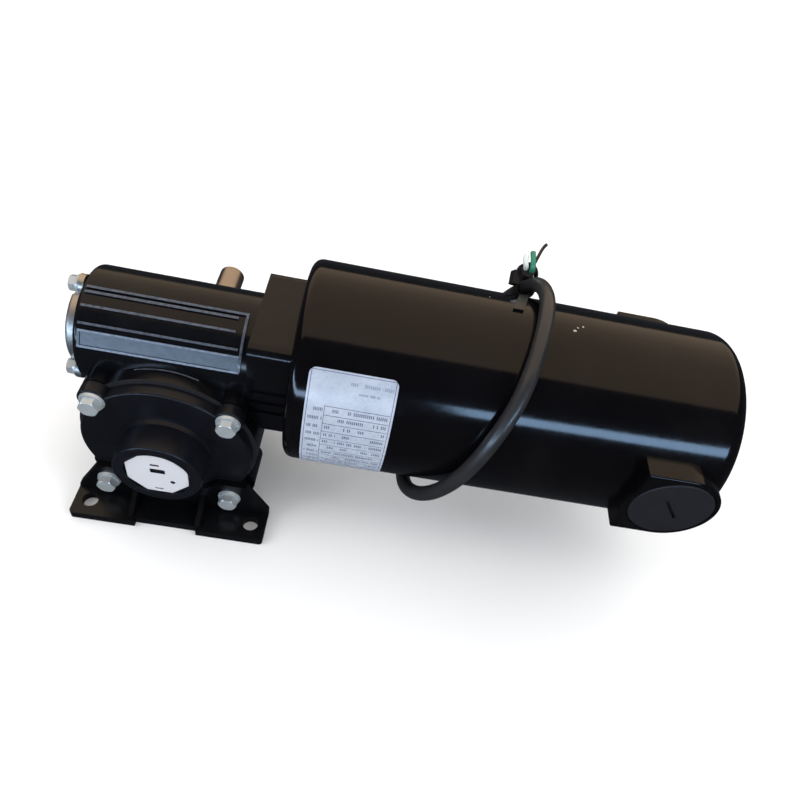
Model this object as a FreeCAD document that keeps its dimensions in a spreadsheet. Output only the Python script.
# Right-angle worm gearmotor on a foot bracket, in millimetres.
# X runs along the motor, from the gearhead to the motor's rear end. The output shaft points along +Y.
# The origin is midway between the two foot holes, on the underside of the foot, and Z is up. The pieces are
# drawn with X = 0 on the output shaft, and each is then moved to its place beside the foot's middle.
import math
import os

import FreeCAD
import Part
import Sketcher
from FreeCAD import Placement, Rotation, Vector

doc = FreeCAD.newDocument("gearmotor")
sheet = doc.addObject("Spreadsheet::Sheet", "dims")


# ---------------------------------------------------------------- driving dimensions
class Size:
    """A length that carries its value and the sheet formula that gives it."""

    def __init__(self, value, text):
        self.value, self.text = float(value), text

    def __add__(self, other):
        return join(self, "+", other, self.value + number(other))

    def __radd__(self, other):
        return join(other, "+", self, number(other) + self.value)

    def __sub__(self, other):
        return join(self, "-", other, self.value - number(other))

    def __rsub__(self, other):
        return join(other, "-", self, number(other) - self.value)

    def __mul__(self, other):
        return join(self, "*", other, self.value * number(other))

    def __rmul__(self, other):
        return join(other, "*", self, number(other) * self.value)

    def __truediv__(self, other):
        return join(self, "/", other, self.value / number(other))

    def __neg__(self):
        return join(0, "-", self, -self.value)


def number(size):
    return size.value if isinstance(size, Size) else float(size)


def formula(size):
    return size.text if isinstance(size, Size) else f"{float(size):.6f}"


def join(a, sign, b, value):
    return Size(value, f"({formula(a)} {sign} {formula(b)})")


rows = []


def dim(alias, value):
    """One driving dimension: a sheet cell with a plain number and a name."""
    row = len(rows) + 1
    rows.append(alias)
    sheet.set(f"A{row}", alias)
    sheet.set(f"B{row}", str(value))
    sheet.setAlias(f"B{row}", alias)
    return Size(value, f"dims.{alias}")


# where the two axes are
output_height = dim("output_height", 48.2)
centre_distance = dim("centre_distance", 40)
axis_setback = dim("axis_setback", 57.5)
motor_height = output_height + centre_distance

# motor
shell_radius = dim("shell_radius", 53.5)
shell_wall = dim("shell_wall", 3.6)
motor_face = dim("motor_face", 61)
seam_station = dim("seam_station", 236.3)
rear_station = dim("rear_station", 287.4)
rear_round = dim("rear_round", 10)
front_round = dim("front_round", 5.5)
end_wall = dim("end_wall", 5)
core_radius = dim("core_radius", 34)
core_start = dim("core_start", 112)
core_length = dim("core_length", 76)
magnet_gap = dim("magnet_gap", 0.8)
commutator_radius = dim("commutator_radius", 16)
brush_station = dim("brush_station", 260.5)
brush_boss_half = dim("brush_boss_half", 24.1)
brush_boss_reach = dim("brush_boss_reach", 59.8)
brush_cap_radius = dim("brush_cap_radius", 21.2)

# gearhead
barrel_radius = dim("barrel_radius", 30.5)
barrel_start = dim("barrel_start", -46.2)
block_start = dim("block_start", 39.4)
block_half = dim("block_half", 31)
case_radius = dim("case_radius", 46.8)
case_front = dim("case_front", 38)
case_back = dim("case_back", 38)
cover_front = dim("cover_front", 45.5)
cover_radius = dim("cover_radius", 44.4)
boss_radius = dim("boss_radius", 23)
boss_front = dim("boss_front", 62.4)
bolt_half_x = dim("bolt_half_x", 33.4)
bolt_half_z = dim("bolt_half_z", 31.5)
gasket_thickness = dim("gasket_thickness", 0.8)

# gears: a single-start right-hand worm and its wheel
wheel_teeth = dim("wheel_teeth", 30)
gear_module = dim("gear_module", 2.1)
wheel_face = dim("wheel_face", 18)
tooth_backlash = dim("tooth_backlash", 0.9)
worm_half_thread = dim("worm_half_thread", 3)

# shafts and bearings
worm_shaft_radius = dim("worm_shaft_radius", 8.5)
worm_nose_radius = dim("worm_nose_radius", 6)
output_radius = dim("output_radius", 7.94)
output_end = dim("output_end", 102.6)
journal_radius = dim("journal_radius", 8.6)
running_gap = dim("running_gap", 0.03)
part_gap = dim("part_gap", 0.3)

# foot: the gearmotor sits a little to one side of it
foot_offset = dim("foot_offset", 2.2)
foot_half_width = dim("foot_half_width", 53.5)
foot_plate = dim("foot_plate", 3.8)
foot_thickness = dim("foot_thickness", 5.2)
foot_reach = dim("foot_reach", 67.2)
foot_recess = dim("foot_recess", 2.6)
foot_hole_half = dim("foot_hole_half", 45)
foot_hole_radius = dim("foot_hole_radius", 4.35)

# cord
cord_radius = dim("cord_radius", 4)
lead_radius = dim("lead_radius", 1.5)
thin_lead_radius = dim("thin_lead_radius", 0.9)
cord_exit_station = dim("cord_exit_station", 166.5)
cord_exit_degrees = -25

pitch = gear_module * math.pi
wheel_pitch_radius = gear_module * wheel_teeth / 2
worm_pitch_radius = centre_distance - wheel_pitch_radius
worm_tip_radius = worm_pitch_radius + gear_module
worm_root_radius = worm_pitch_radius - 1.2 * gear_module
wheel_tip_radius = wheel_pitch_radius + gear_module
wheel_root_radius = wheel_pitch_radius - 1.2 * gear_module
lead_angle = math.atan(pitch.value / (2 * math.pi * worm_pitch_radius.value))

WORM_AXIS = (0, axis_setback, motor_height)
OUTPUT_AXIS = (0, axis_setback, output_height)

# ---------------------------------------------------------------- building helpers
TURN = {"X": Rotation(Vector(0, 1, 0), 90), "Y": Rotation(Vector(1, 0, 0), -90), "Z": Rotation()}


def bind(obj, prop, size):
    """Sets a property from the sheet, or plainly when it is a plain number."""
    if isinstance(size, Size):
        obj.setExpression(prop, size.text)
    else:
        setattr(obj, prop, float(size))


def place(obj, at, rotation=None):
    obj.Placement = Placement(Vector(*(number(c) for c in at)), rotation or Rotation())
    for name, coordinate in zip("xyz", at):
        if isinstance(coordinate, Size):
            obj.setExpression(f"Placement.Base.{name}", coordinate.text)
    return obj


def offset(at, axis, distance):
    """A point moved along one axis."""
    moved = list(at)
    moved["XYZ".index(axis)] = moved["XYZ".index(axis)] + distance
    return moved


def cylinder(radius, start, length, at=(0, 0, 0), axis="X", turn=None, angle=360):
    """A cylinder along an axis through at, from start to start + length."""
    obj = doc.addObject("Part::Cylinder", "Cylinder")
    bind(obj, "Radius", radius)
    bind(obj, "Height", length)
    obj.Angle = angle
    rotation = TURN[axis] if turn is None else turn.multiply(TURN[axis])
    return place(obj, offset(at, axis, start), rotation)


def cone(radius_1, radius_2, start, length, at=(0, 0, 0), axis="X"):
    obj = doc.addObject("Part::Cone", "Cone")
    bind(obj, "Radius1", radius_1)
    bind(obj, "Radius2", radius_2)
    bind(obj, "Height", length)
    return place(obj, offset(at, axis, start), TURN[axis])


def box(low, high):
    """A box between two corners."""
    obj = doc.addObject("Part::Box", "Box")
    for name, a, b in zip(("Length", "Width", "Height"), low, high):
        bind(obj, name, b - a)
    return place(obj, low)


def bar(length, width, height, at, rotation):
    """A box that starts at a point and is turned about it."""
    obj = doc.addObject("Part::Box", "Bar")
    bind(obj, "Length", length)
    bind(obj, "Width", width)
    bind(obj, "Height", height)
    return place(obj, at, rotation)


def fuse(*shapes):
    if len(shapes) == 1:
        return shapes[0]
    obj = doc.addObject("Part::MultiFuse", "Fuse")
    obj.Shapes = list(shapes)
    obj.Refine = True
    return obj


def common(a, b):
    obj = doc.addObject("Part::MultiCommon", "Common")
    obj.Shapes = [a, b]
    return obj


def cut(base, *tools):
    obj = doc.addObject("Part::Cut", "Cut")
    obj.Base = base
    obj.Tool = fuse(*tools)
    obj.Refine = True
    return obj


def group(*shapes):
    obj = doc.addObject("Part::Compound", "Group")
    obj.Links = list(shapes)
    return obj


def rounded(base, radius, picks):
    """Fillets the edges that picks accepts."""
    doc.recompute()
    edges = [i + 1 for i, edge in enumerate(base.Shape.Edges) if picks(edge)]
    if not edges:
        raise SystemExit(f"no edge to round on {base.Label}")
    obj = doc.addObject("Part::Fillet", "Fillet")
    obj.Base = base
    obj.Edges = [(i, number(radius), number(radius)) for i in edges]
    return obj


def chamfered(base, size, picks):
    doc.recompute()
    edges = [i + 1 for i, edge in enumerate(base.Shape.Edges) if picks(edge)]
    if not edges:
        raise SystemExit(f"no edge to chamfer on {base.Label}")
    obj = doc.addObject("Part::Chamfer", "Chamfer")
    obj.Base = base
    obj.Edges = [(i, number(size), number(size)) for i in edges]
    return obj


def corners_of(half_x, half_z, sides=(-1, 1)):
    """The points of the cover's screw pattern, the low ones, the high ones or all four."""
    return [(sx * half_x, axis_setback, output_height + sz * half_z) for sx in (-1, 1) for sz in sides]


def circle_at(radius, axis, station):
    """Accepts the round edges of one radius that lie at one station along an axis."""
    k = "XYZ".index(axis)

    def accepts(edge):
        curve = edge.Curve
        return (
            isinstance(curve, Part.Circle)
            and abs(curve.Radius - number(radius)) < 1e-3
            and abs(curve.Center[k] - number(station)) < 1e-3
        )

    return accepts


def outline(sketch, points):
    """A closed outline whose corners are all driven from the sheet."""
    corners = [Vector(number(a), number(b), 0) for a, b in points]
    count = len(corners)
    for i in range(count):
        sketch.addGeometry(Part.LineSegment(corners[i], corners[(i + 1) % count]), False)
    for i in range(count):
        sketch.addConstraint(Sketcher.Constraint("Coincident", i, 2, (i + 1) % count, 1))
        for kind, size in (("DistanceX", points[i][0]), ("DistanceY", points[i][1])):
            index = sketch.addConstraint(Sketcher.Constraint(kind, -1, 1, i, 1, number(size)))
            if isinstance(size, Size):
                sketch.setExpression(f"Constraints[{index}]", size.text)


def sketch_on(body, plane, points=None, height=0):
    """A sketch on one of the body's own origin planes."""
    sketch = body.newObject("Sketcher::SketchObject", "Sketch")
    names = {"XY": "XY_Plane", "XZ": "XZ_Plane", "YZ": "YZ_Plane"}
    plane_object = next(f for f in body.Origin.OriginFeatures if f.Role == names[plane])
    sketch.AttachmentSupport = [(plane_object, "")]
    sketch.MapMode = "FlatFace"
    sketch.AttachmentOffset = Placement(Vector(0, 0, number(height)), Rotation())
    if isinstance(height, Size):
        sketch.setExpression("AttachmentOffset.Base.z", height.text)
    if points:
        outline(sketch, points)
    return sketch


def new_body(at=(0, 0, 0), rotation=None):
    return place(doc.addObject("PartDesign::Body", "Body"), at, rotation)


def lathe(points, axis="X", at=(0, 0, 0)):
    """A turned piece: points are (station along the axis, radius)."""
    body = new_body(at)
    if axis == "X":
        sketch = sketch_on(body, "XY", points)
    else:
        sketch = sketch_on(body, "XY", [(radius, station) for station, radius in points])
    turned = body.newObject("PartDesign::Revolution", "Revolution")
    turned.Profile = sketch
    turned.ReferenceAxis = (sketch, ["H_Axis" if axis == "X" else "V_Axis"])
    turned.Angle = 360
    return body


def plate(points, plane, low, high, at=(0, 0, 0)):
    """A flat piece: an outline on a plane, padded between two heights along its normal."""
    body = new_body(at)
    sketch = sketch_on(body, plane, points, height=low)
    pad = body.newObject("PartDesign::Pad", "Pad")
    pad.Profile = sketch
    bind(pad, "Length", high - low)
    return body


nodes = []


def node(name, obj, on_foot=False):
    """Names a finished piece; all but the foot bracket stand to one side of the foot's middle."""
    obj.Label = name
    if not on_foot:
        driven = dict((path.lstrip("."), text) for path, text in obj.ExpressionEngine)
        station = driven.get("Placement.Base.x", f"{obj.Placement.Base.x:.6f}")
        obj.setExpression("Placement.Base.x", f"({station}) - dims.foot_offset")
    nodes.append((name, obj))
    return obj


# ---------------------------------------------------------------- fasteners
def hex_screw(seat, axis_sign, at, axis="Y", shank=2.8, shank_length=14, flange=6.4, head=4.3):
    """A hex washer-head screw whose head stands on the seat, pointing along +axis or -axis."""
    flats_radius = flange * 0.82
    washer = 1.4

    def along(start, length):
        return start if axis_sign > 0 else -start - length

    prism = doc.addObject("Part::Prism", "Hex")
    prism.Polygon = 6
    prism.Circumradius = flats_radius
    prism.Height = head
    place(prism, offset(at, axis, seat + along(washer, head)), TURN[axis])
    big, small = flats_radius + head, flats_radius * 0.9
    crown = (
        cone(big, small, seat + washer, head, at, axis)
        if axis_sign > 0
        else cone(small, big, seat + along(washer, head), head, at, axis)
    )
    skirt = (
        cone(flange, flange - 0.5, seat, washer, at, axis)
        if axis_sign > 0
        else cone(flange - 0.5, flange, seat - washer, washer, at, axis)
    )
    stem = cylinder(shank, seat + along(-shank_length, shank_length + 0.5), shank_length + 0.5, at, axis)
    return fuse(common(prism, crown), skirt, stem)


# ---------------------------------------------------------------- gear housing
cap_angles = (math.pi / 2, math.pi * 7 / 6, -math.pi / 6)


def cap_point(angle):
    """Where one screw of the bearing cap sits, round the barrel's axis."""
    return (
        0,
        axis_setback + cap_bolt_circle * math.cos(angle),
        motor_height + cap_bolt_circle * math.sin(angle),
    )


case_floor = case_back - 6
drive_bearing_start = dim("drive_bearing_start", 45)
drive_bearing_width = dim("drive_bearing_width", 12)
drive_bearing_radius = dim("drive_bearing_radius", 20)
nose_bearing_width = dim("nose_bearing_width", 10)
nose_bearing_radius = dim("nose_bearing_radius", 16)
output_bearing_radius = dim("output_bearing_radius", 17.46)
output_bearing_width = dim("output_bearing_width", 8.7)
wheel_cavity_radius = dim("wheel_cavity_radius", 37)
seal_radius = dim("seal_radius", 15)
ear_radius = dim("ear_radius", 7.6)
low_ear_radius = dim("low_ear_radius", 12)
cap_bolt_circle = dim("cap_bolt_circle", 25)
face_screw_offset = dim("face_screw_offset", 25)

barrel = cylinder(barrel_radius, barrel_start, block_start - barrel_start + 1, WORM_AXIS)
barrel = rounded(barrel, 2.5, circle_at(barrel_radius, "X", barrel_start))
block = box(
    (block_start, axis_setback - block_half, motor_height - block_half),
    (motor_face, axis_setback + block_half, motor_height + block_half),
)
block = rounded(
    block, 6, lambda e: abs(e.tangentAt(e.FirstParameter).x) > 0.99
)
case = cylinder(case_radius, -case_front, case_front + case_back, OUTPUT_AXIS, "Y")
case = rounded(case, 5, circle_at(case_radius, "Y", axis_setback + case_back))
neck = box(
    (-31, axis_setback - 27, output_height),
    (36, axis_setback + 27, motor_height),
)
rear_boss = cone(26, 23, case_back - 1, 9, OUTPUT_AXIS, "Y")
high_bolts = corners_of(bolt_half_x, bolt_half_z, [1])
low_bolts = corners_of(bolt_half_x, bolt_half_z, [-1])
ears = [
    *[cylinder(ear_radius, -case_front, 14, at, "Y") for at in high_bolts],
    *[cylinder(low_ear_radius, -case_front, 22, at, "Y") for at in low_bolts],
]

# ribs along the front of the barrel: degrees from its top, width, and where each one starts and ends;
# the last is a short pad low on the barrel's left
panel_start, panel_end = barrel_start + 3, 35.0
ribs = []
for degrees, width, start, end in (
    (12.0, 1.3, panel_start, 35.0),
    (17.2, 1.3, panel_start, 31.0),
    (30.6, 1.2, panel_start, 31.0),
    (46.4, 1.2, panel_start, 33.5),
    (122.0, 3.0, barrel_start + 5, -31.0),
):
    lean = Rotation(Vector(1, 0, 0), degrees)
    foot = lean.multVec(Vector(0, -width / 2, barrel_radius.value - 0.8))
    ribs.append(bar(end - start, width, 1.9, (start, axis_setback + foot.y, motor_height + foot.z), lean))
# the end of the rib panel, a thin band round part of the barrel
band = cut(
    cylinder(
        barrel_radius + 1.1,
        panel_end - 0.6,
        1.3,
        WORM_AXIS,
        turn=Rotation(Vector(1, 0, 0), 190.5),
        angle=56.5,
    ),
    cylinder(barrel_radius - 1, panel_end - 1, 3, WORM_AXIS),
)
# the flat strip below the ribs, sunk in a frame
strip_lean = Rotation(Vector(1, 0, 0), 60.5)
frame_foot = strip_lean.multVec(Vector(0, -4.6, barrel_radius.value - 1.6))
strip_frame = bar(
    panel_end - panel_start,
    9.2,
    2.2,
    (panel_start, axis_setback + frame_foot.y, motor_height + frame_foot.z),
    strip_lean,
)
strip_foot = strip_lean.multVec(Vector(0, -3.4, barrel_radius.value + 0.1))
strip = bar(
    panel_end - panel_start - 5.5,
    6.8,
    3,
    (panel_start + 1.2, axis_setback + strip_foot.y, motor_height + strip_foot.z),
    strip_lean,
)
block_ribs = [
    box(
        (block_start + 1, axis_setback - block_half - 1.1, motor_height + lift - 0.9),
        (motor_face - 2, axis_setback + block_half + 1.1, motor_height + lift + 0.9),
    )
    for lift in (1.8, -6.0, -13.3)
]

housing = fuse(barrel, block, case, neck, rear_boss, band, strip_frame, *ears, *ribs, *block_ribs)
housing = cut(
    housing,
    strip,
    cylinder(wheel_cavity_radius, -case_front - 1, case_front + case_floor + 1, OUTPUT_AXIS, "Y"),
    cylinder(13.5, barrel_start + 14, drive_bearing_start - barrel_start - 14, WORM_AXIS),
    cylinder(nose_bearing_radius, barrel_start - 1, 16, WORM_AXIS),
    cylinder(drive_bearing_radius, drive_bearing_start, drive_bearing_width, WORM_AXIS),
    cylinder(seal_radius, drive_bearing_start + drive_bearing_width - 0.5, 6, WORM_AXIS),
    cylinder(output_bearing_radius, case_floor - 1, output_bearing_width + 1, OUTPUT_AXIS, "Y"),
    cylinder(13.5, case_floor, 20, OUTPUT_AXIS, "Y"),
    *[cylinder(2.85, -case_front - 1, 13, at, "Y") for at in corners_of(bolt_half_x, bolt_half_z)],
    *[cylinder(2.15, barrel_start - 1, 12, cap_point(a)) for a in cap_angles],
    *[
        cylinder(2.55, motor_face - 12, 13, (0, axis_setback, motor_height + side * face_screw_offset))
        for side in (-1, 1)
    ],
)
node("gear_housing", housing)

node(
    "cover_gasket",
    cut(
        cylinder(case_radius, -case_front - gasket_thickness, gasket_thickness, OUTPUT_AXIS, "Y"),
        cylinder(wheel_cavity_radius, -case_front - 3, 6, OUTPUT_AXIS, "Y"),
        *[cylinder(3.2, -case_front - 3, 6, at, "Y") for at in corners_of(bolt_half_x, bolt_half_z)],
    ),
)

# ---------------------------------------------------------------- gear cover with its boss
cover_back = case_front + gasket_thickness
plug_depth = dim("plug_depth", 4)
cover_disc = cylinder(cover_radius, -cover_front, cover_front - cover_back, OUTPUT_AXIS, "Y")
cover_ears = [
    cylinder(ear_radius, -cover_front, cover_front - cover_back, at, "Y")
    for at in corners_of(bolt_half_x, bolt_half_z)
]
cover_plate = rounded(
    fuse(cover_disc, *cover_ears),
    1.2,
    lambda e: abs(e.CenterOfMass.y - (axis_setback - cover_front).value) < 1e-3,
)
boss = rounded(
    cylinder(boss_radius, -boss_front, boss_front - cover_back, OUTPUT_AXIS, "Y"),
    1.4,
    circle_at(boss_radius, "Y", axis_setback - boss_front),
)
collar = cone(24.4, 25.4, -cover_front - 2.2, 2.4, OUTPUT_AXIS, "Y")
cover = cut(
    fuse(cover_plate, boss, collar),
    cylinder(output_bearing_radius, -boss_front + plug_depth + 3, boss_front, OUTPUT_AXIS, "Y"),
    cylinder(17.3, -boss_front - 1, plug_depth + 1, OUTPUT_AXIS, "Y"),
    *[cylinder(3.2, -cover_front - 3, 20, at, "Y") for at in corners_of(bolt_half_x, bolt_half_z)],
)
node("gear_cover", cover)

# white octagonal plug in the mouth of the boss
plug_prism = doc.addObject("Part::Prism", "Octagon")
plug_prism.Polygon = 8
plug_prism.Circumradius = 17.1
bind(plug_prism, "Height", plug_depth - 0.9)
place(
    plug_prism,
    offset(OUTPUT_AXIS, "Y", -boss_front + 0.9),
    TURN["Y"].multiply(Rotation(Vector(0, 0, 1), 22.5)),
)
plug_front = axis_setback - boss_front + 0.9
node(
    "boss_plug",
    cut(
        plug_prism,
        box((-3.4, plug_front - 1, output_height + 1.0), (4.2, plug_front + 1.4, output_height + 4.6)),
        box((-3.0, plug_front - 1, output_height + 7.2), (1.6, plug_front + 0.8, output_height + 8.6)),
        cylinder(1.3, -1, 2, (7.5, plug_front, output_height - 5.5), "Y"),
        box((-2.4, plug_front - 1, output_height - 13.6), (2.0, plug_front + 0.6, output_height - 12.8)),
    ),
)

# ---------------------------------------------------------------- foot bracket
plate_front = cover_front + foot_plate
foot_top = foot_thickness
notch_height = output_height - 20
bracket_upright = plate(
    [
        (-foot_half_width, 0),
        (foot_half_width, 0),
        (foot_half_width, foot_top + 1.5),
        (41.0, notch_height),
        (-41.0, notch_height),
        (-foot_half_width, foot_top + 1.5),
    ],
    "XZ",
    cover_front - axis_setback,
    plate_front - axis_setback,
)
flange = box(
    (-foot_half_width, axis_setback - foot_reach, 0),
    (foot_half_width, axis_setback - plate_front + 1, foot_top),
)
flange = rounded(
    flange,
    2.0,
    lambda e: abs(e.tangentAt(e.FirstParameter).z) > 0.99
    and e.CenterOfMass.y < (axis_setback - foot_reach).value + 1,
)
gusset_station = dim("gusset_station", 18.5)
gussets = []
for side in (-1, 1):
    gussets.append(
        plate(
            [
                (axis_setback - plate_front + 0.5, foot_top - 0.5),
                (axis_setback - foot_reach + 2.4, foot_top - 0.5),
                (axis_setback - foot_reach + 2.4, foot_top + 0.6),
                (axis_setback - plate_front + 0.5, foot_top + 9.5),
            ],
            "YZ",
            gusset_station * side - foot_offset - 1.4,
            gusset_station * side - foot_offset + 1.4,
        )
    )
bracket = cut(
    fuse(bracket_upright, flange, *gussets),
    cylinder(33, -plate_front - 3, foot_plate + 6, offset(OUTPUT_AXIS, "X", -foot_offset), "Y"),
    box(
        (-18.0, axis_setback - foot_reach - 1, -1),
        (16.0, axis_setback - foot_reach + foot_recess, foot_top + 1),
    ),
    *[
        cylinder(3.3, -plate_front - 3, 12, offset(at, "X", -foot_offset), "Y")
        for at in corners_of(bolt_half_x, bolt_half_z, [-1])
    ],
    *[cylinder(foot_hole_radius, -1, 12, (side * foot_hole_half, 0, 0), "Z") for side in (-1, 1)],
)
node("foot_bracket", bracket, on_foot=True)

node(
    "cover_screws",
    group(
        *[hex_screw(-cover_front, -1, at) for at in high_bolts],
        *[hex_screw(-plate_front, -1, at, shank_length=18) for at in low_bolts],
    ),
)

# ---------------------------------------------------------------- bearing cap at the barrel's end
bearing_cap = cut(
    fuse(
        rounded(
            cylinder(22.5, barrel_start - 6.8, 6.8, WORM_AXIS), 2, circle_at(22.5, "X", barrel_start - 6.8)
        ),
        *[cylinder(5.4, barrel_start - 3, 3, cap_point(a)) for a in cap_angles],
    ),
    cylinder(12, barrel_start - 8, 2, WORM_AXIS),
    *[cylinder(5.7, barrel_start - 9, 6, cap_point(a)) for a in cap_angles],
    *[cylinder(2.4, barrel_start - 6, 8, cap_point(a)) for a in cap_angles],
)
node("bearing_cap", bearing_cap)
node(
    "bearing_cap_screws",
    group(
        *[
            hex_screw(
                barrel_start - 3, -1, cap_point(a), "X", shank=2.1, shank_length=12, flange=5.2, head=3.6
            )
            for a in cap_angles
        ]
    ),
)


# ---------------------------------------------------------------- bearings and seals
def bearing(inner, outer, start, width, at, axis):
    """A shielded ball bearing as one ring, with its shields set back and a groove round each."""
    third = (outer - inner) / 3
    return lathe(
        [
            (start, inner),
            (start + width, inner),
            (start + width, inner + third * 0.8),
            (start + width - 0.6, inner + third * 0.8),
            (start + width - 0.6, outer - third * 0.8),
            (start + width, outer - third * 0.8),
            (start + width, outer),
            (start, outer),
            (start, outer - third * 0.8),
            (start + 0.6, outer - third * 0.8),
            (start + 0.6, inner + third * 0.8),
            (start, inner + third * 0.8),
        ],
        axis,
        at,
    )


def lip_seal(inner, outer, start, width, at, axis):
    return lathe(
        [
            (start, inner + 1.6),
            (start + width * 0.5, inner),
            (start + width * 0.62, inner),
            (start + width, inner + 1.2),
            (start + width, outer),
            (start, outer),
        ],
        axis,
        at,
    )


nose_bearing_start = barrel_start + 3
node(
    "nose_bearing",
    bearing(
        worm_nose_radius + running_gap,
        nose_bearing_radius,
        nose_bearing_start,
        nose_bearing_width,
        WORM_AXIS,
        "X",
    ),
)
node(
    "drive_bearing",
    bearing(
        worm_shaft_radius + running_gap,
        drive_bearing_radius,
        drive_bearing_start,
        drive_bearing_width,
        WORM_AXIS,
        "X",
    ),
)
node("input_seal", lip_seal(worm_shaft_radius + running_gap, seal_radius, 57, 4, WORM_AXIS, "X"))
output_bore = journal_radius + running_gap
for name, start in (("output_bearing_front", -54.9), ("output_bearing_rear", case_floor)):
    node(name, bearing(output_bore, output_bearing_radius, start, output_bearing_width, OUTPUT_AXIS, "Y"))
node("output_seal", lip_seal(journal_radius + running_gap, 13.5, 41.5, 4.5, OUTPUT_AXIS, "Y"))

# ---------------------------------------------------------------- worm shaft and what turns with it
rear_bearing_width = dim("rear_bearing_width", 9)
rear_bearing_start = rear_station - end_wall - rear_bearing_width
rear_journal = dim("rear_journal", 6)
core_bore = dim("core_bore", 9)
worm_shaft = new_body(WORM_AXIS)
turned_profile = [
    (-42.5, 0),
    (rear_station - end_wall - 1, 0),
    (rear_station - end_wall - 1, rear_journal),
    (rear_bearing_start - 1, rear_journal),
    (rear_bearing_start - 1, core_bore),
    (63, core_bore),
    (63, worm_shaft_radius),
    (worm_half_thread * pitch + 6, worm_shaft_radius),
    (worm_half_thread * pitch + 2, worm_root_radius),
    (-worm_half_thread * pitch - 2, worm_root_radius),
    (-worm_half_thread * pitch - 4, worm_nose_radius),
    (-42.5, worm_nose_radius),
]
turned_sketch = sketch_on(worm_shaft, "XY", turned_profile)
turned = worm_shaft.newObject("PartDesign::Revolution", "Revolution")
turned.Profile = turned_sketch
turned.ReferenceAxis = (turned_sketch, ["H_Axis"])
turned.Angle = 360
doc.recompute()
# the thread's section sits on the side of the worm that faces the wheel
flank = math.tan(math.radians(20))
thread_half_pitch = pitch / 4 - tooth_backlash / 2
thread_root_half = thread_half_pitch + (worm_pitch_radius - worm_root_radius) * flank
thread_tip_half = thread_half_pitch - (worm_tip_radius - worm_pitch_radius) * flank
thread_start = -worm_half_thread * pitch
thread_sketch = sketch_on(
    worm_shaft,
    "XZ",
    [
        (thread_start - thread_root_half, -worm_root_radius + 0.3),
        (thread_start + thread_root_half, -worm_root_radius + 0.3),
        (thread_start + thread_root_half, -worm_root_radius),
        (thread_start + thread_tip_half, -worm_tip_radius),
        (thread_start - thread_tip_half, -worm_tip_radius),
        (thread_start - thread_root_half, -worm_root_radius),
    ],
)
thread = worm_shaft.newObject("PartDesign::AdditiveHelix", "Thread")
thread.Profile = thread_sketch
thread.ReferenceAxis = (thread_sketch, ["H_Axis"])
thread.Mode = "pitch-height-angle"
bind(thread, "Pitch", pitch)
bind(thread, "Height", 2 * worm_half_thread * pitch)
thread.LeftHanded = False
thread.Reversed = False
worm_shaft.Tip = thread
node("worm_shaft", worm_shaft)

slot_count = 20
core = new_body(WORM_AXIS)
core_sketch = sketch_on(
    core,
    "XY",
    [
        (core_start, core_bore),
        (core_start + core_length, core_bore),
        (core_start + core_length, core_radius),
        (core_start, core_radius),
    ],
)
core_turned = core.newObject("PartDesign::Revolution", "Revolution")
core_turned.Profile = core_sketch
core_turned.ReferenceAxis = (core_sketch, ["H_Axis"])
core_turned.Angle = 360
slot_sketch = sketch_on(
    core,
    "YZ",
    [
        (-1.1, core_radius + 1),
        (-1.1, core_radius - 1.6),
        (-2.6, core_radius - 3.2),
        (-1.6, core_radius - 13),
        (1.6, core_radius - 13),
        (2.6, core_radius - 3.2),
        (1.1, core_radius - 1.6),
        (1.1, core_radius + 1),
    ],
)
slot = core.newObject("PartDesign::Pocket", "Slot")
slot.Profile = slot_sketch
slot.Type = "ThroughAll"
slot.Midplane = True
slots = core.newObject("PartDesign::PolarPattern", "Slots")
slots.Originals = [slot]
slots.Axis = (slot_sketch, ["N_Axis"])
slots.Angle = 360
slots.Occurrences = slot_count
core.Tip = slots
node("armature_core", core)

coil_bars = []
for i in range(slot_count):
    angle = 360 * i / slot_count
    turn = Rotation(Vector(1, 0, 0), angle)
    foot = turn.multVec(Vector(0, -1.45, core_radius.value - 12.6))
    coil_bars.append(
        bar(core_length + 4, 2.9, 9.0, (core_start - 2, axis_setback + foot.y, motor_height + foot.z), turn)
    )
coil_ends = []
core_end = core_start + core_length
for start, end in ((core_start - 17, core_start - 1), (core_end + 1, core_end + 17)):
    coil_ends.append(
        lathe(
            [
                (start, 13.5),
                (end, 13.5),
                (end, core_radius - 3.6),
                ((start + end) / 2, core_radius - 2.2),
                (start + 2.5, core_radius - 6),
                (start, core_radius - 11),
            ],
            "X",
            WORM_AXIS,
        )
    )
node("armature_winding", fuse(*coil_bars, *coil_ends))

segment_count = 20
commutator_start = brush_station - 11.5
commutator = cut(
    fuse(
        cylinder(commutator_radius, commutator_start, 20, WORM_AXIS),
        cylinder(commutator_radius + 1.8, commutator_start - 3, 3.5, WORM_AXIS),
    ),
    cylinder(core_bore, commutator_start - 5, 40, WORM_AXIS),
    *[
        bar(
            30,
            0.7,
            3,
            (
                commutator_start - 4,
                axis_setback + 15.1 * math.cos(math.radians(360 * (i + 0.5) / segment_count)),
                motor_height + 15.1 * math.sin(math.radians(360 * (i + 0.5) / segment_count)),
            ),
            Rotation(Vector(1, 0, 0), 360 * (i + 0.5) / segment_count - 90),
        )
        for i in range(segment_count)
    ],
)
node("commutator", commutator)

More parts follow.
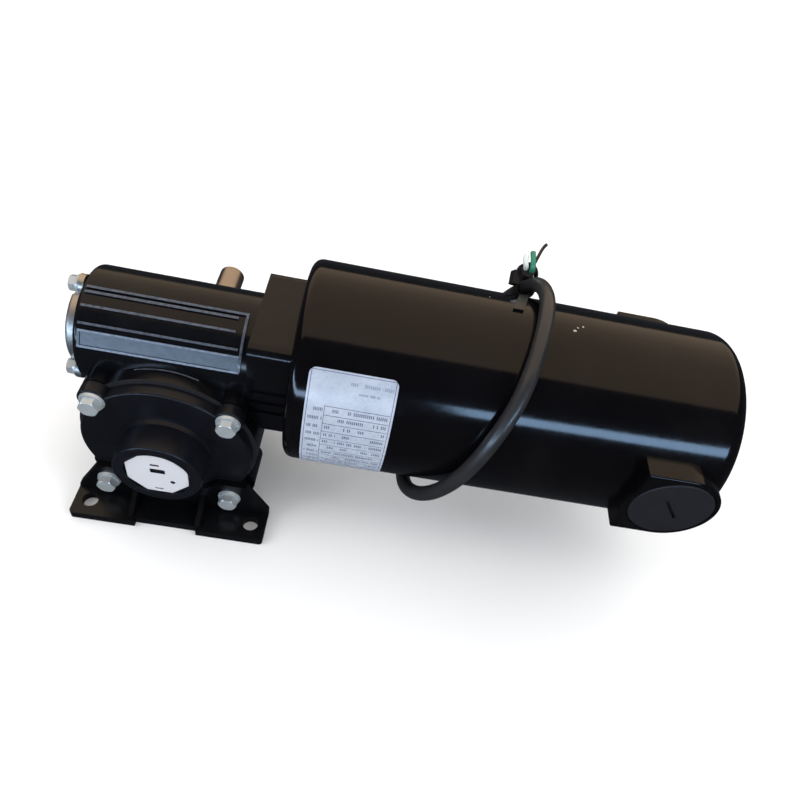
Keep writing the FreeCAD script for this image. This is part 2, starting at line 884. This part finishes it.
# ---------------------------------------------------------------- worm wheel and output shaft
wheel = new_body(OUTPUT_AXIS)
rim_sketch = sketch_on(
    wheel,
    "XY",
    [
        (journal_radius, -wheel_face / 2 - 3),
        (14, -wheel_face / 2 - 3),
        (15, -wheel_face / 2 + 3),
        (25, -wheel_face / 2 + 3),
        (26, -wheel_face / 2),
        (wheel_root_radius, -wheel_face / 2),
        (wheel_root_radius, wheel_face / 2),
        (26, wheel_face / 2),
        (25, wheel_face / 2 - 3),
        (15, wheel_face / 2 - 3),
        (14, wheel_face / 2 + 3),
        (journal_radius, wheel_face / 2 + 3),
    ],
)
rim = wheel.newObject("PartDesign::Revolution", "Rim")
rim.Profile = rim_sketch
rim.ReferenceAxis = (rim_sketch, ["V_Axis"])
rim.Angle = 360
# a tooth stands each side of the top, so the worm's thread meets a gap there
tooth_half_pitch = pitch / 4 - 0.05
tooth_tip = tooth_half_pitch - (wheel_tip_radius - wheel_pitch_radius) * flank
tooth_foot = tooth_half_pitch + (wheel_pitch_radius - wheel_root_radius) * flank
half_twist = math.degrees(wheel_face.value / 2 * math.tan(lead_angle) / wheel_pitch_radius.value)
tooth_sketches = []
for end in (-1, 1):
    sketch = sketch_on(
        wheel,
        "XZ",
        [
            (-tooth_foot, wheel_root_radius - 0.6),
            (tooth_foot, wheel_root_radius - 0.6),
            (tooth_foot, wheel_root_radius),
            (tooth_tip, wheel_tip_radius),
            (-tooth_tip, wheel_tip_radius),
            (-tooth_foot, wheel_root_radius),
        ],
    )
    # the plane's normal is -Y and it turns with the helix, half a tooth away from the top
    turn = -(180 / wheel_teeth.value) - end * half_twist
    sketch.AttachmentOffset = Placement(
        Vector(0, 0, -end * wheel_face.value / 2), Rotation(Vector(0, 0, 1), turn)
    )
    sketch.setExpression("AttachmentOffset.Base.z", (-end * wheel_face / 2).text)
    tooth_sketches.append(sketch)
tooth = wheel.newObject("PartDesign::AdditiveLoft", "Tooth")
tooth.Profile = tooth_sketches[0]
tooth.Sections = [tooth_sketches[1]]
tooth.Ruled = True
teeth = wheel.newObject("PartDesign::PolarPattern", "Teeth")
teeth.Originals = [tooth]
teeth.Axis = (rim_sketch, ["V_Axis"])
teeth.Angle = 360
teeth.Occurrences = int(wheel_teeth.value)
wheel.Tip = teeth
doc.recompute()
keyway = box(
    (-2.4, axis_setback - wheel_face / 2 - 4, output_height),
    (2.4, axis_setback + wheel_face / 2 + 4, output_height + journal_radius + 2.3),
)
node("worm_wheel", cut(wheel, keyway))

journal_end = case_back + 9.5
shaft_blank = chamfered(
    fuse(
        cylinder(journal_radius, -55, journal_end + 55, OUTPUT_AXIS, "Y"),
        cylinder(output_radius, journal_end - 1, output_end - journal_end + 1, OUTPUT_AXIS, "Y"),
    ),
    0.9,
    circle_at(output_radius, "Y", axis_setback + output_end),
)
node(
    "output_shaft",
    cut(
        shaft_blank,
        box(
            (-2.4, axis_setback - wheel_face / 2, output_height + journal_radius - 2.4),
            (2.4, axis_setback + wheel_face / 2, output_height + journal_radius + 4),
        ),
        box(
            (-2.4, axis_setback + output_end - 26, output_height - output_radius - 1),
            (2.4, axis_setback + output_end + 1, output_height - output_radius + 2.3),
        ),
    ),
)
node(
    "wheel_key",
    box(
        (-2.4, axis_setback - wheel_face / 2, output_height + journal_radius - 2.4),
        (2.4, axis_setback + wheel_face / 2, output_height + journal_radius + 2.3),
    ),
)

# ---------------------------------------------------------------- motor shell, magnets and rear endshield
def cord_hole(radius, start, length):
    """A round bar pointing out of the motor where the cord leaves it."""
    out = Rotation(Vector(1, 0, 0), cord_exit_degrees)
    toward = out.multVec(Vector(0, 1, 0))
    at = (cord_exit_station, axis_setback + toward.y * start, motor_height + toward.z * start)
    return cylinder(radius, 0, length, at, "Y", turn=out)


shell_outer = rounded(
    cylinder(shell_radius, motor_face, seam_station - motor_face, WORM_AXIS),
    front_round,
    circle_at(shell_radius, "X", motor_face),
)
shell_inside = shell_radius - shell_wall
through_bolt_radius = dim("through_bolt_radius", 39)
face_screws = [(0, axis_setback, motor_height + side * face_screw_offset) for side in (-1, 1)]
through_bolts = [(0, axis_setback, motor_height + side * through_bolt_radius) for side in (-1, 1)]
node(
    "motor_shell",
    cut(
        shell_outer,
        cylinder(shell_inside, motor_face + end_wall, 300, WORM_AXIS),
        cylinder(13, motor_face - 1, 10, WORM_AXIS),
        *[cylinder(2.6, motor_face - 1, 10, at) for at in face_screws],
        cord_hole(cord_radius + 1.6, 45, 15),
    ),
)

magnet_inner = core_radius + magnet_gap
magnet_ring = cut(
    cylinder(shell_inside - 0.02, core_start - 8, core_length + 16, WORM_AXIS),
    cylinder(magnet_inner, core_start - 10, core_length + 20, WORM_AXIS),
    box((0, axis_setback - 17, 0), (300, axis_setback + 17, 300)),
)
node("field_magnets", magnet_ring)

node(
    "face_screws",
    group(
        *[
            fuse(
                cylinder(2.5, motor_face - 11, 16.5, at),
                cylinder(4.5, motor_face + end_wall, 4.2, at),
            )
            for at in face_screws
        ]
    ),
)

shield_body = rounded(
    cylinder(shell_radius, seam_station, rear_station - seam_station, WORM_AXIS),
    rear_round,
    circle_at(shell_radius, "X", rear_station),
)
spigot = cylinder(shell_inside - 0.02, seam_station - 5, 6, WORM_AXIS)
BRUSH_AXIS = (brush_station, axis_setback, motor_height)
boss_left = brush_boss_half - 2
brush_bosses = []
for side in (-1, 1):
    start = 0 if side > 0 else -brush_boss_reach
    round_part = cylinder(brush_boss_half, start, brush_boss_reach, BRUSH_AXIS, "Y")
    low = axis_setback - brush_boss_reach if side < 0 else axis_setback
    high = axis_setback if side < 0 else axis_setback + brush_boss_reach
    square_part = box(
        (brush_station - boss_left, low, motor_height - brush_boss_half),
        (brush_station, high, motor_height + brush_boss_half),
    )
    brush_bosses.append(
        rounded(
            fuse(round_part, square_part),
            1.2,
            lambda e, y=number(axis_setback + side * brush_boss_reach): abs(e.CenterOfMass.y - y) < 1e-3,
        )
    )
shield_inside = shell_radius - 4.5
tube_outer = dim("tube_outer", 9.5)
endshield = cut(
    fuse(shield_body, spigot, *brush_bosses),
    cylinder(shield_inside - 2, seam_station - 6, rear_station - end_wall - seam_station + 6, WORM_AXIS),
    *[
        cylinder(brush_cap_radius + 0.5, side * brush_boss_reach - 4.5, 9, BRUSH_AXIS, "Y")
        for side in (-1, 1)
    ],
    cylinder(tube_outer, -80, 160, BRUSH_AXIS, "Y"),
    *[
        fuse(cylinder(2.4, rear_station - 20, 30, at), cylinder(4.8, rear_station - 3, 8, at))
        for at in through_bolts
    ],
)
bearing_pocket = cut(
    cylinder(18, rear_bearing_start - 0.5, rear_bearing_width + 1.5, WORM_AXIS),
    cylinder(14, rear_bearing_start - 2, rear_bearing_width + 2, WORM_AXIS),
)
node("rear_endshield", fuse(endshield, bearing_pocket))
node(
    "rear_bearing",
    bearing(rear_journal + running_gap, 14, rear_bearing_start, rear_bearing_width, WORM_AXIS, "X"),
)
node(
    "through_bolts",
    group(
        *[
            cut(
                fuse(
                    cylinder(2.3, motor_face + end_wall, rear_station - motor_face - end_wall - 2, at),
                    cylinder(4.4, rear_station - 3, 2.6, at),
                ),
                box(
                    (rear_station - 1.6, axis_setback - 5, at[2] - 0.6),
                    (rear_station + 1, axis_setback + 5, at[2] + 0.6),
                ),
            )
            for at in through_bolts
        ]
    ),
)

# ---------------------------------------------------------------- brushes
brush_half_x, brush_half_z = 6, 4
brush_length = dim("brush_length", 17)
brush_inner = commutator_radius + part_gap
brush_outer = brush_inner + brush_length
spring_end = brush_boss_reach - 6.5
for side, name in ((-1, "front"), (1, "back")):

    def reach(a, b, side=side):
        """The low and high Y of a span counted outward from the motor axis."""
        return (axis_setback + a, axis_setback + b) if side > 0 else (axis_setback - b, axis_setback - a)

    low, high = reach(brush_inner, brush_outer)
    block_ = box(
        (brush_station - brush_half_x, low, motor_height - brush_half_z),
        (brush_station + brush_half_x, high, motor_height + brush_half_z),
    )
    node(f"brush_{name}", block_)
    low, high = reach(brush_inner + 2.5, brush_boss_reach - 6.5)
    tube = cut(
        cylinder(tube_outer, low - axis_setback, high - low, BRUSH_AXIS, "Y"),
        box(
            (brush_station - brush_half_x - 0.3, low - 1, motor_height - brush_half_z - 0.3),
            (brush_station + brush_half_x + 0.3, high + 1, motor_height + brush_half_z + 0.3),
        ),
    )
    node(f"brush_holder_{name}", tube)
    # a compression spring between the brush and the cap
    spring_length = spring_end - brush_outer - 0.4
    helix = doc.addObject("Part::Helix", "SpringPath")
    bind(helix, "Pitch", spring_length / 7)
    bind(helix, "Height", spring_length * 0.93)
    helix.Radius = 3.0
    wire_start = brush_outer + 0.6
    turn = TURN["Y"] if side > 0 else Rotation(Vector(1, 0, 0), 90)
    place(
        helix,
        (brush_station, axis_setback + side * wire_start, motor_height),
        turn,
    )
    doc.recompute()
    start_point = helix.Shape.Vertexes[0].Point
    tangent = helix.Shape.Edges[0].tangentAt(helix.Shape.Edges[0].FirstParameter)
    section = doc.addObject("Part::Circle", "SpringWire")
    section.Radius = 0.45
    section.Placement = Placement(start_point, Rotation(Vector(0, 0, 1), tangent))
    spring = doc.addObject("Part::Sweep", "Spring")
    spring.Sections = [section]
    spring.Spine = helix
    spring.Solid = True
    spring.Frenet = True
    node(f"brush_spring_{name}", spring)

    low, high = reach(brush_boss_reach - 4.5, brush_boss_reach + 0.4)
    cap_disc = cylinder(brush_cap_radius, low - axis_setback, high - low, BRUSH_AXIS, "Y")
    face = high if side > 0 else low
    cap_disc = rounded(cap_disc, 0.8, circle_at(brush_cap_radius, "Y", face))
    slot_turn = Rotation(Vector(0, 1, 0), 52 if side < 0 else -52)
    slot_corner = slot_turn.multVec(Vector(-8.5, 0, -0.8))
    slot_cutter = bar(
        17,
        3,
        1.6,
        (
            brush_station + slot_corner.x,
            (axis_setback - brush_boss_reach - 1.4) if side < 0 else (axis_setback + brush_boss_reach - 1.6),
            motor_height + slot_corner.z,
        ),
        slot_turn,
    )
    low, high = reach(brush_boss_reach - 6.2, brush_boss_reach - 4)
    cap_stud = cylinder(7, low - axis_setback, high - low, BRUSH_AXIS, "Y")
    node(f"brush_cap_{name}", cut(fuse(cap_disc, cap_stud), slot_cutter))

# ---------------------------------------------------------------- nameplate
label_start, label_end = 70.7, 113
label_thickness = 0.35
label_ring = cut(
    cylinder(shell_radius + label_thickness, label_start, label_end - label_start, WORM_AXIS),
    cylinder(shell_radius, label_start - 1, label_end - label_start + 2, WORM_AXIS),
)
label_sector = plate(
    [(0, 0), (80 * math.cos(math.radians(136.5)), 80 * math.sin(math.radians(136.5))), (-150, 0),
     (80 * math.cos(math.radians(-145)), 80 * math.sin(math.radians(-145)))],
    "YZ",
    label_start - 5,
    label_end + 5,
    WORM_AXIS,
)
label = common(label_ring, label_sector)
node(
    "nameplate",
    rounded(label, 3.5, lambda e: e.Length < 1 and abs(e.tangentAt(e.FirstParameter).x) < 0.1),
)

# ---------------------------------------------------------------- cord, wrapped once round the motor and tied
def round_motor(degrees, station, radius):
    """A point beside the motor, in degrees round it from the back, over the top."""
    a = math.radians(degrees)
    return Vector(
        station, axis_setback.value + radius * math.cos(a), motor_height.value + radius * math.sin(a)
    )


def smooth_line(points):
    curve = Part.BSplineCurve()
    curve.interpolate(points)
    return curve


def cord_solid(curve, radius, name):
    """A round cord swept along a smooth line."""
    path = doc.addObject("Part::Feature", "CordPath")
    path.Shape = Part.Wire([curve.toShape()])
    section = doc.addObject("Part::Circle", "CordSection")
    bind(section, "Radius", radius)
    start = curve.FirstParameter
    section.Placement = Placement(curve.value(start), Rotation(Vector(0, 0, 1), curve.tangent(start)[0]))
    sweep = doc.addObject("Part::Sweep", "Sweep")
    sweep.Sections = [section]
    sweep.Spine = path
    sweep.Solid = True
    sweep.Frenet = False
    print(f"{name} length {curve.length():.1f} mm")
    return sweep


# degrees round the motor, station along it and distance from its axis
cord_route = (
    (-25, 166.5, 50.8), (-25, 166.5, 55.5), (-22.6, 166.5, 60.6), (-16, 166.9, 63.6), (-7, 167.4, 63.0),
    (6, 168.6, 60.0), (20, 170.7, 58.4), (32, 174.3, 58.4), (38, 176.6, 59.3), (44, 178.3, 60.0),
    (52, 180.0, 60.5), (60, 181.0, 59.7), (70, 181.3, 58.6), (82, 180.3, 58.1), (101, 177.3, 57.8),
    (120, 173.4, 57.8), (136, 169.3, 57.8), (150, 164.2, 57.8), (165, 158.6, 57.8), (182, 152.2, 58.2),
    (197, 145.8, 59.4), (210, 139.2, 61.0), (223, 133.0, 61.6), (237, 129.0, 60.8), (255, 128.8, 59.2),
    (275, 134.0, 58.0), (294, 145.0, 57.8), (311, 161.0, 57.9), (323, 173.3, 57.9), (335, 181.0, 57.9),
    (348, 184.0, 58.6), (362, 184.4, 60.2), (374, 182.6, 63.2), (385, 179.8, 66.1), (394, 177.4, 67.5),
    (400, 176.3, 68.2), (403.5, 176.0, 69.2),
)
cord_line = smooth_line([round_motor(*stop) for stop in cord_route])
node("cord", cord_solid(cord_line, cord_radius, "cord"))
node(
    "cord_grommet",
    cut(fuse(cord_hole(5.4, 50.4, 4), cord_hole(7, 53.6, 2.4)), cord_hole(cord_radius + 0.4, 48, 12)),
)

# the three leads stand out of the end of the sheath and bend away from the motor
tip = cord_line.value(cord_line.LastParameter)
onward = cord_line.tangent(cord_line.LastParameter)[0]
sideways = Vector(1, 0, 0)
outward = sideways.cross(onward).normalize()
if outward.z < 0:
    outward = -outward
lead_stops = {
    "lead_white": ((-1.9, 0.1, 0.5), (-2.5, 0.4, 2.6), (-3.3, 2.8, 4.0), (-2.8, 5.8, 4.2)),
    "lead_green": ((1.3, -1.0, 0.5), (1.3, -0.6, 2.8), (0.7, 3.4, 4.8), (0.2, 7.8, 4.6)),
    "lead_black": ((1.6, 2.1, 0.5), (2.1, 2.9, 2.2), (3.6, 6.8, 3.0), (7.8, 15.2, 3.0)),
}
for name, stops in lead_stops.items():
    line = smooth_line([tip + sideways * x + outward * y + onward * z for x, y, z in stops])
    node(name, cord_solid(line, thin_lead_radius if name == "lead_black" else lead_radius, name))

# a cable tie binds the free end to the cord under it; the loop is drawn flat and then turned into place
tie_low, tie_high = round_motor(38, 176.5, 59.9), round_motor(38, 176.8, 68.2)
tie_across = (tie_high - tie_low).normalize()
tie_span = (tie_high - tie_low).Length
tie_turn = Rotation(tie_across, Vector(), Vector(0.22, -0.51, 0.83), "XZY")
tie_inner, tie_wall, tie_width = 5.2, 0.8, 4


def tie_loop(radius, width):
    return fuse(
        cylinder(radius, -width / 2, width, (0, 0, 0), "Z"),
        cylinder(radius, -width / 2, width, (tie_span, 0, 0), "Z"),
        box((0, -radius, -width / 2), (tie_span, radius, width / 2)),
    )


tie_head = box((tie_span - 8, tie_inner, -2.7), (tie_span - 0.4, tie_inner + 3.6, 2.7))
tie = cut(fuse(tie_loop(tie_inner + tie_wall, tie_width), tie_head), tie_loop(tie_inner, tie_width + 6))
tie.Placement = Placement(tie_low, tie_turn)
# its tail lies along the motor's top, towards the front
tail_inside, tail_outside = shell_radius + 0.3, shell_radius + 1.2
tail_ring = cut(
    cylinder(tail_outside, 150, 40, WORM_AXIS),
    cylinder(tail_inside, 149, 42, WORM_AXIS),
)
tail_sector = plate(
    [(163.8, 7.2), (169.2, 7.2), (179.4, 42.9), (174.2, 42.9)],
    "XY",
    motor_height,
    motor_height + 80,
    (0, axis_setback, 0),
)
node("cable_tie", fuse(tie, common(tail_ring, tail_sector)))

# ---------------------------------------------------------------- check and write
doc.recompute()
os.makedirs("parts", exist_ok=True)
bad = [o.Name for o in doc.Objects if "Invalid" in o.State or "Error" in o.State]
if bad:
    raise SystemExit(f"failed features: {bad}")
for name, obj in nodes:
    shape = obj.Shape
    if shape.isNull() or not shape.isValid() or not shape.Solids:
        raise SystemExit(f"{name} has no valid solid")
    shape.exportStep(f"parts/{name}.step")
    bounds = shape.BoundBox
    print(
        f"{name}: {len(shape.Solids)} solid(s), {shape.Volume / 1000:.1f} cm3,"
        f" X {bounds.XMin:.1f}..{bounds.XMax:.1f}, Y {bounds.YMin:.1f}..{bounds.YMax:.1f},"
        f" Z {bounds.ZMin:.1f}..{bounds.ZMax:.1f}"
    )
